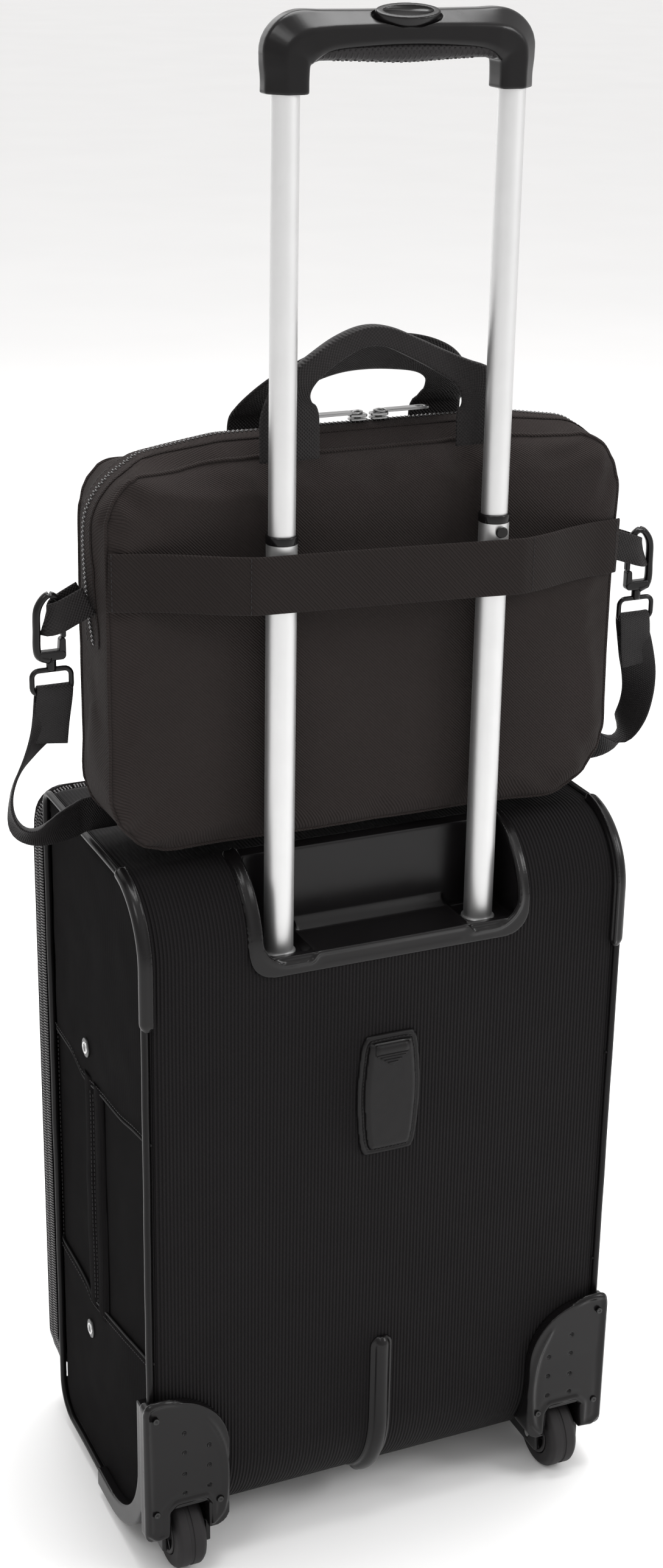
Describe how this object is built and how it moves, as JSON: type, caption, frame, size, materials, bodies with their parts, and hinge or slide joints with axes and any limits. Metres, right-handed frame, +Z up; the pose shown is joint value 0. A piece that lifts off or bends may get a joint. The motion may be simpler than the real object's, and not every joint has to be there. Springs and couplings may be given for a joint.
{
  "type": "rolling laptop case",
  "caption": "Upright soft wheeled case with a telescoping handle, carrying a laptop briefcase held on the handle by its trolley strap.",
  "frame": {"origin": "on the floor, under the middle of the whole", "axes": "+Z up along the handle tubes, +Y from the handle side towards the front lid, +X to the right seen from the handle side"},
  "size_m": [0.4808, 0.2624, 1.0775],
  "materials": {
    "ribbed_cloth": "woven, fine vertical ribs",
    "side_cloth": "woven",
    "overlay_cloth": "coarse canvas",
    "piping": "bound cord",
    "board": "matte",
    "moulding": "satin moulded",
    "soft_grip": "matte",
    "tube": "satin anodised",
    "steel": "brushed",
    "tyre": "matte",
    "hub": "satin",
    "coil_zip": "satin",
    "zip_metal": "gunmetal",
    "tag_leather": "matte",
    "bag_cloth": "fine twill",
    "webbing": "woven webbing"
  },
  "bodies": {
    "case": {"back_top_panel": "ribbed_cloth", "bottom_panel": "ribbed_cloth", "side_panel_left": "side_cloth", "side_panel_right": "side_cloth", "front_rim": "side_cloth", "back_board": "board", "side_overlays": "overlay_cloth", "overlay_rivets": "steel", "edge_piping": "piping", "corner_guard_left": "moulding", "corner_guard_right": "moulding", "skid_bar": "moulding", "front_feet": "moulding", "handle_mounts": "moulding", "tag_holder": "tag_leather", "main_zip": "coil_zip", "wheel_housing_left": "moulding", "wheel_housing_right": "moulding", "wheel_axles": "steel", "housing_screws": "steel", "handle_tray": "moulding", "outer_tubes": "tube", "tube_bracket": "moulding"},
    "middle_stage": {"middle_tubes": "tube", "tube_rings": "moulding"},
    "inner_stage": {"inner_tubes": "tube", "grip_shell": "moulding", "grip_insert": "soft_grip"},
    "release_button": {"release_button": "moulding"},
    "lock_button": {"lock_button": "moulding"},
    "wheel_left": {"tyre_left": "tyre", "wheel_hub_left": "hub"},
    "wheel_right": {"tyre_right": "tyre", "wheel_hub_right": "hub"},
    "lid": {"lid_panel": "side_cloth", "lid_pockets": "side_cloth", "lid_zips": "coil_zip"},
    "pocket_slider_upper": {"pocket_slider_upper": "zip_metal"},
    "pocket_slider_lower": {"pocket_slider_lower": "zip_metal"},
    "main_slider_left": {"main_slider_left": "zip_metal"},
    "main_slider_right": {"main_slider_right": "zip_metal"},
    "main_pull_left": {"main_pull_left": "zip_metal"},
    "main_pull_right": {"main_pull_right": "zip_metal"},
    "top_handle": {"top_handle": "soft_grip"},
    "tag_cover": {"tag_cover": "tag_leather"},
    "bag": {"bag_body": "bag_cloth", "trolley_strap": "webbing", "bag_zip": "coil_zip", "bag_webbing": "webbing", "snap_hook_left": "moulding", "snap_hook_right": "moulding", "shoulder_strap": "webbing"},
    "bag_slider_left": {"bag_slider_left": "zip_metal"},
    "bag_slider_right": {"bag_slider_right": "zip_metal"},
    "bag_pull_left": {"bag_pull_left": "zip_metal"},
    "bag_pull_right": {"bag_pull_right": "zip_metal"},
    "bag_handle_rear": {"bag_handle_rear": "webbing"},
    "bag_handle_front": {"bag_handle_front": "webbing"},
    "hook_gate_left": {"hook_gate_left": "moulding"},
    "hook_gate_right": {"hook_gate_right": "moulding"}
  },
  "joints": [
    {"name": "middle_slide", "type": "slide", "parent": "case", "child": "middle_stage", "axis": [0, 0, 1], "range_m": [-0.264, 0]},
    {"name": "inner_slide", "type": "slide", "parent": "middle_stage", "child": "inner_stage", "axis": [0, 0, 1], "range_m": [-0.264, 0]},
    {"name": "release_press", "type": "slide", "parent": "inner_stage", "child": "release_button", "axis": [0, 0, 1], "range_m": [-0.004, 0], "stiffness_N_per_m": 600, "springref_m": 0.0005},
    {"name": "lock_press", "type": "slide", "parent": "middle_stage", "child": "lock_button", "axis": [0, 1, 0], "range_m": [0, 0.001], "stiffness_N_per_m": 800, "springref_m": -0.0005},
    {"name": "wheel_left_spin", "type": "hinge", "parent": "case", "child": "wheel_left", "pos_m": [-0.1515, -0.10325, 0.028], "axis": [1, 0, 0], "continuous": true},
    {"name": "wheel_right_spin", "type": "hinge", "parent": "case", "child": "wheel_right", "pos_m": [0.1515, -0.10325, 0.028], "axis": [1, 0, 0], "continuous": true},
    {"name": "lid_open", "type": "hinge", "parent": "case", "child": "lid", "pos_m": [0, 0.09475, 0.039], "axis": [-1, 0, 0], "range_deg": [0, 90]},
    {"name": "pocket_upper_zip", "type": "slide", "parent": "lid", "child": "pocket_slider_upper", "axis": [1, 0, 0], "range_m": [0, 0.244]},
    {"name": "pocket_lower_zip", "type": "slide", "parent": "lid", "child": "pocket_slider_lower", "axis": [1, 0, 0], "range_m": [0, 0.244]},
    {"name": "main_zip_left", "type": "slide", "parent": "case", "child": "main_slider_left", "axis": [-1, 0, 0], "range_m": [0, 0.13]},
    {"name": "main_zip_right", "type": "slide", "parent": "case", "child": "main_slider_right", "axis": [1, 0, 0], "range_m": [0, 0.13]},
    {"name": "main_pull_left_flip", "type": "hinge", "parent": "main_slider_left", "child": "main_pull_left", "pos_m": [-0.015, 0.09525, 0.5343], "axis": [0, 1, 0], "range_deg": [0, 150]},
    {"name": "main_pull_right_flip", "type": "hinge", "parent": "main_slider_right", "child": "main_pull_right", "pos_m": [0.015, 0.09525, 0.5343], "axis": [0, -1, 0], "range_deg": [0, 150]},
    {"name": "top_handle_lift", "type": "slide", "parent": "case", "child": "top_handle", "axis": [0, 0, 1], "range_m": [0, 0.008], "stiffness_N_per_m": 300, "springref_m": -0.002},
    {"name": "tag_cover_flip", "type": "hinge", "parent": "case", "child": "tag_cover", "pos_m": [0, -0.12045, 0.4028], "axis": [-1, 0, 0], "range_deg": [0, 120]},
    {"name": "bag_lift", "type": "slide", "parent": "case", "child": "bag", "axis": [0, 0, 1], "range_m": [0, 0.38]},
    {"name": "bag_zip_left", "type": "slide", "parent": "bag", "child": "bag_slider_left", "axis": [-1, 0, 0], "range_m": [0, 0.12]},
    {"name": "bag_zip_right", "type": "slide", "parent": "bag", "child": "bag_slider_right", "axis": [1, 0, 0], "range_m": [0, 0.105]},
    {"name": "bag_pull_left_flip", "type": "hinge", "parent": "bag_slider_left", "child": "bag_pull_left", "pos_m": [-0.0068, -0.04925, 0.8274], "axis": [0, 1, 0], "range_deg": [0, 35]},
    {"name": "bag_pull_right_flip", "type": "hinge", "parent": "bag_slider_right", "child": "bag_pull_right", "pos_m": [0.0158, -0.04925, 0.8274], "axis": [0, -1, 0], "range_deg": [0, 35]},
    {"name": "front_handle_fold", "type": "hinge", "parent": "bag", "child": "bag_handle_front", "pos_m": [0, -0.01625, 0.819], "axis": [-1, 0, 0], "range_deg": [0, 125]},
    {"name": "rear_handle_fold", "type": "hinge", "parent": "bag", "child": "bag_handle_rear", "pos_m": [0, -0.07945, 0.827], "axis": [-1, 0, 0], "range_deg": [0, 50]},
    {"name": "gate_left_press", "type": "hinge", "parent": "bag", "child": "hook_gate_left", "pos_m": [-0.2057, -0.05125, 0.6995], "axis": [0, -1, 0], "range_deg": [0, 20], "stiffness_Nm_per_rad": 0.05, "springref_deg": -5.73},
    {"name": "gate_right_press", "type": "hinge", "parent": "bag", "child": "hook_gate_right", "pos_m": [0.2057, -0.05125, 0.6995], "axis": [0, 1, 0], "range_deg": [0, 20], "stiffness_Nm_per_rad": 0.05, "springref_deg": -5.73}
  ],
  "couplings": [
    {"joint": "rear_handle_fold", "follows": "front_handle_fold", "ratio": 0.4}
  ]
}
